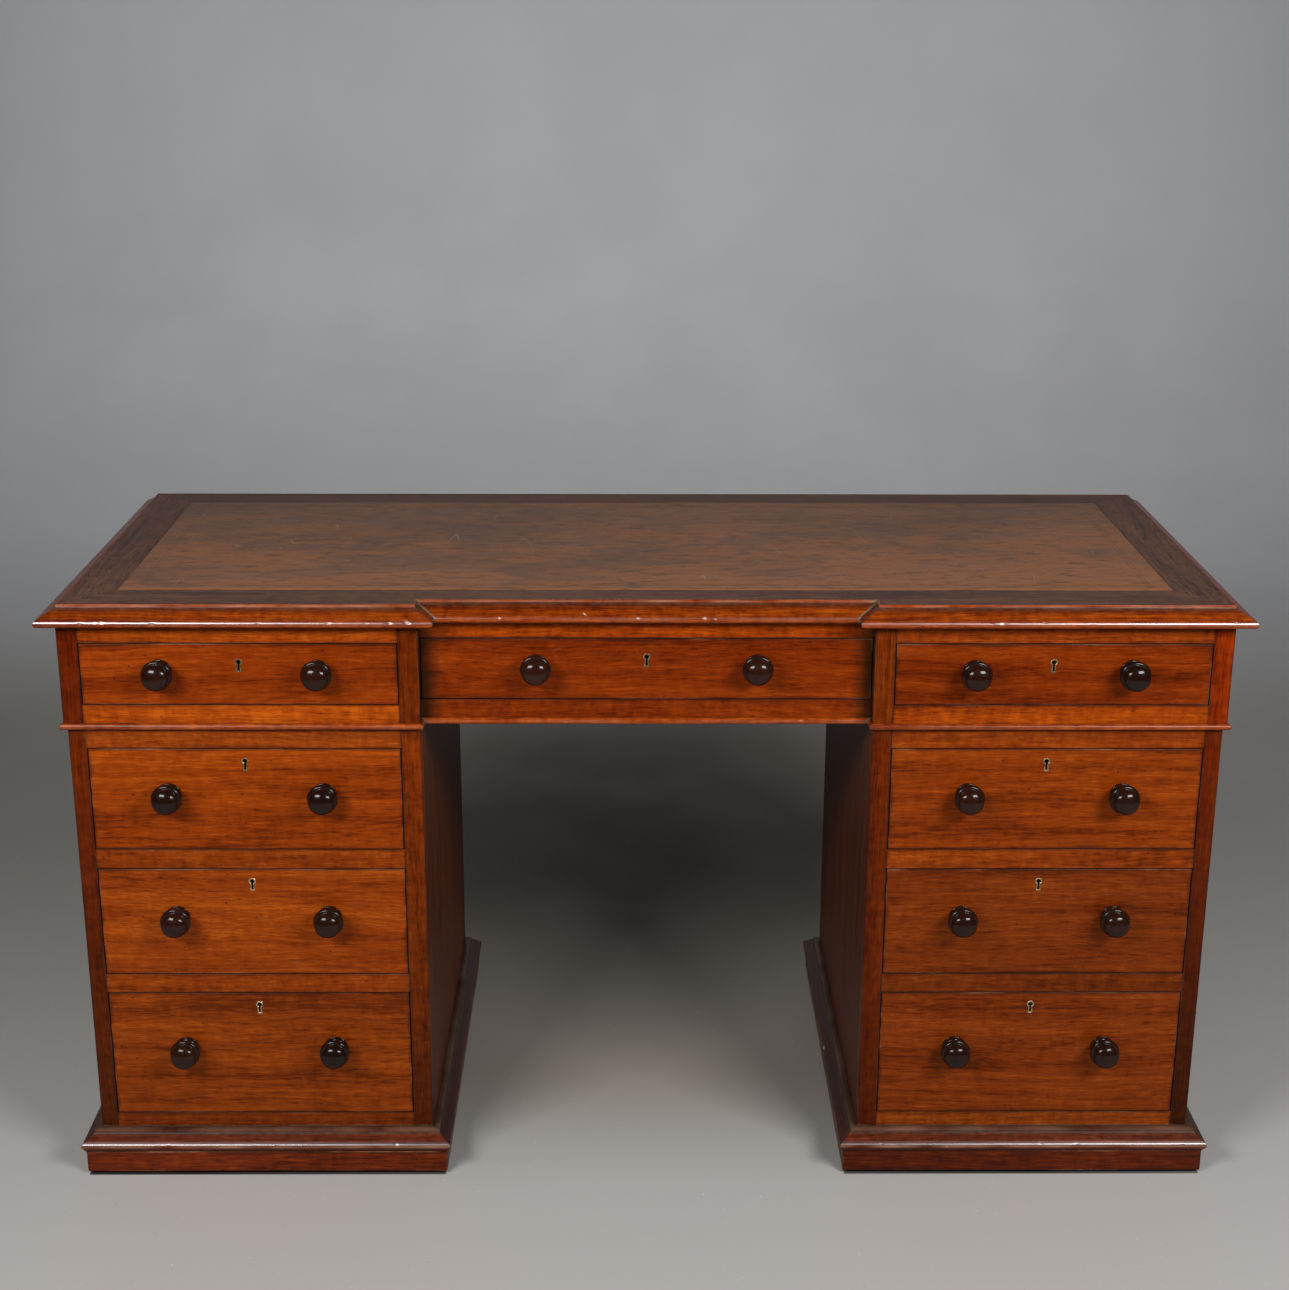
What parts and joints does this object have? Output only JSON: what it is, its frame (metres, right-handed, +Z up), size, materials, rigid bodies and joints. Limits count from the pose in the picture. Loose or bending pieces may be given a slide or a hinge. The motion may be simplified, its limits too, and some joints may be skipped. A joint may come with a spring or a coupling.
{
  "type": "partners desk",
  "caption": "Breakfront pedestal desk with a leather writing top, a frieze over plinthed pedestals, turned knobs, and dovetailed drawers that slide out and have locks.",
  "frame": {"origin": "on the floor, at the middle of the box that holds the desk and its knobs", "axes": "+X to the right of the person who sits at it, +Y to the back, +Z up"},
  "size_m": [1.482, 0.634, 0.781],
  "materials": {
    "frame_mahogany": "french polished mahogany, worn along its edges",
    "carcass_mahogany": "polished mahogany boards, duller than the fronts",
    "front_mahogany": "french polished figured mahogany",
    "plinth_mahogany": "dark polished mahogany, scuffed",
    "border_mahogany": "dark brown polished border",
    "inner_pine": "planed pine, unfinished",
    "drawer_lining": "planed cedar or oak lining, unfinished",
    "dark_wood": "turned and polished dark hardwood",
    "brown_leather": "worn waxed skiver with a tooled line",
    "aged_brass": "tarnished brass"
  },
  "bodies": {
    "desk_carcass": {"drawer_runners": "inner_pine", "floor_glides": "dark_wood", "frieze_case": "carcass_mahogany", "frieze_face_frame": "frame_mahogany", "left_pedestal_case": "carcass_mahogany", "left_pedestal_face_frame": "frame_mahogany", "left_plinth": "plinth_mahogany", "right_pedestal_case": "carcass_mahogany", "right_pedestal_face_frame": "frame_mahogany", "right_plinth": "plinth_mahogany", "top_banding": "border_mahogany", "top_board": "inner_pine", "top_edge_moulding": "frame_mahogany", "waist_bead": "frame_mahogany", "writing_leather": "brown_leather"},
    "left_frieze_drawer": {"left_frieze_drawer_front": "front_mahogany", "left_frieze_drawer_box": "drawer_lining", "left_frieze_drawer_knobs": "dark_wood", "left_frieze_drawer_lock": "aged_brass"},
    "left_frieze_bolt": {"left_frieze_lock_bolt": "aged_brass"},
    "centre_frieze_drawer": {"centre_frieze_drawer_front": "front_mahogany", "centre_frieze_drawer_box": "drawer_lining", "centre_frieze_drawer_knobs": "dark_wood", "centre_frieze_drawer_lock": "aged_brass"},
    "centre_frieze_bolt": {"centre_frieze_lock_bolt": "aged_brass"},
    "right_frieze_drawer": {"right_frieze_drawer_front": "front_mahogany", "right_frieze_drawer_box": "drawer_lining", "right_frieze_drawer_knobs": "dark_wood", "right_frieze_drawer_lock": "aged_brass"},
    "right_frieze_bolt": {"right_frieze_lock_bolt": "aged_brass"},
    "left_top_drawer": {"left_top_drawer_front": "front_mahogany", "left_top_drawer_box": "drawer_lining", "left_top_drawer_knobs": "dark_wood", "left_top_drawer_lock": "aged_brass"},
    "left_top_bolt": {"left_top_lock_bolt": "aged_brass"},
    "left_middle_drawer": {"left_middle_drawer_front": "front_mahogany", "left_middle_drawer_box": "drawer_lining", "left_middle_drawer_knobs": "dark_wood", "left_middle_drawer_lock": "aged_brass"},
    "left_middle_bolt": {"left_middle_lock_bolt": "aged_brass"},
    "left_bottom_drawer": {"left_bottom_drawer_front": "front_mahogany", "left_bottom_drawer_box": "drawer_lining", "left_bottom_drawer_knobs": "dark_wood", "left_bottom_drawer_lock": "aged_brass"},
    "left_bottom_bolt": {"left_bottom_lock_bolt": "aged_brass"},
    "right_top_drawer": {"right_top_drawer_front": "front_mahogany", "right_top_drawer_box": "drawer_lining", "right_top_drawer_knobs": "dark_wood", "right_top_drawer_lock": "aged_brass"},
    "right_top_bolt": {"right_top_lock_bolt": "aged_brass"},
    "right_middle_drawer": {"right_middle_drawer_front": "front_mahogany", "right_middle_drawer_box": "drawer_lining", "right_middle_drawer_knobs": "dark_wood", "right_middle_drawer_lock": "aged_brass"},
    "right_middle_bolt": {"right_middle_lock_bolt": "aged_brass"},
    "right_bottom_drawer": {"right_bottom_drawer_front": "front_mahogany", "right_bottom_drawer_box": "drawer_lining", "right_bottom_drawer_knobs": "dark_wood", "right_bottom_drawer_lock": "aged_brass"},
    "right_bottom_bolt": {"right_bottom_lock_bolt": "aged_brass"}
  },
  "joints": [
    {"name": "left_frieze_drawer_slide", "type": "slide", "parent": "desk_carcass", "child": "left_frieze_drawer", "axis": [0, -1, 0], "range_m": [0, 0.4]},
    {"name": "left_frieze_bolt_throw", "type": "slide", "parent": "left_frieze_drawer", "child": "left_frieze_bolt", "axis": [0, 0, 1], "range_m": [0, 0.0065]},
    {"name": "centre_frieze_drawer_slide", "type": "slide", "parent": "desk_carcass", "child": "centre_frieze_drawer", "axis": [0, -1, 0], "range_m": [0, 0.4]},
    {"name": "centre_frieze_bolt_throw", "type": "slide", "parent": "centre_frieze_drawer", "child": "centre_frieze_bolt", "axis": [0, 0, 1], "range_m": [0, 0.0065]},
    {"name": "right_frieze_drawer_slide", "type": "slide", "parent": "desk_carcass", "child": "right_frieze_drawer", "axis": [0, -1, 0], "range_m": [0, 0.4]},
    {"name": "right_frieze_bolt_throw", "type": "slide", "parent": "right_frieze_drawer", "child": "right_frieze_bolt", "axis": [0, 0, 1], "range_m": [0, 0.0065]},
    {"name": "left_top_drawer_slide", "type": "slide", "parent": "desk_carcass", "child": "left_top_drawer", "axis": [0, -1, 0], "range_m": [0, 0.4]},
    {"name": "left_top_bolt_throw", "type": "slide", "parent": "left_top_drawer", "child": "left_top_bolt", "axis": [0, 0, 1], "range_m": [0, 0.0065]},
    {"name": "left_middle_drawer_slide", "type": "slide", "parent": "desk_carcass", "child": "left_middle_drawer", "axis": [0, -1, 0], "range_m": [0, 0.4]},
    {"name": "left_middle_bolt_throw", "type": "slide", "parent": "left_middle_drawer", "child": "left_middle_bolt", "axis": [0, 0, 1], "range_m": [0, 0.0065]},
    {"name": "left_bottom_drawer_slide", "type": "slide", "parent": "desk_carcass", "child": "left_bottom_drawer", "axis": [0, -1, 0], "range_m": [0, 0.4]},
    {"name": "left_bottom_bolt_throw", "type": "slide", "parent": "left_bottom_drawer", "child": "left_bottom_bolt", "axis": [0, 0, 1], "range_m": [0, 0.0065]},
    {"name": "right_top_drawer_slide", "type": "slide", "parent": "desk_carcass", "child": "right_top_drawer", "axis": [0, -1, 0], "range_m": [0, 0.4]},
    {"name": "right_top_bolt_throw", "type": "slide", "parent": "right_top_drawer", "child": "right_top_bolt", "axis": [0, 0, 1], "range_m": [0, 0.0065]},
    {"name": "right_middle_drawer_slide", "type": "slide", "parent": "desk_carcass", "child": "right_middle_drawer", "axis": [0, -1, 0], "range_m": [0, 0.4]},
    {"name": "right_middle_bolt_throw", "type": "slide", "parent": "right_middle_drawer", "child": "right_middle_bolt", "axis": [0, 0, 1], "range_m": [0, 0.0065]},
    {"name": "right_bottom_drawer_slide", "type": "slide", "parent": "desk_carcass", "child": "right_bottom_drawer", "axis": [0, -1, 0], "range_m": [0, 0.4]},
    {"name": "right_bottom_bolt_throw", "type": "slide", "parent": "right_bottom_drawer", "child": "right_bottom_bolt", "axis": [0, 0, 1], "range_m": [0, 0.0065]}
  ]
}
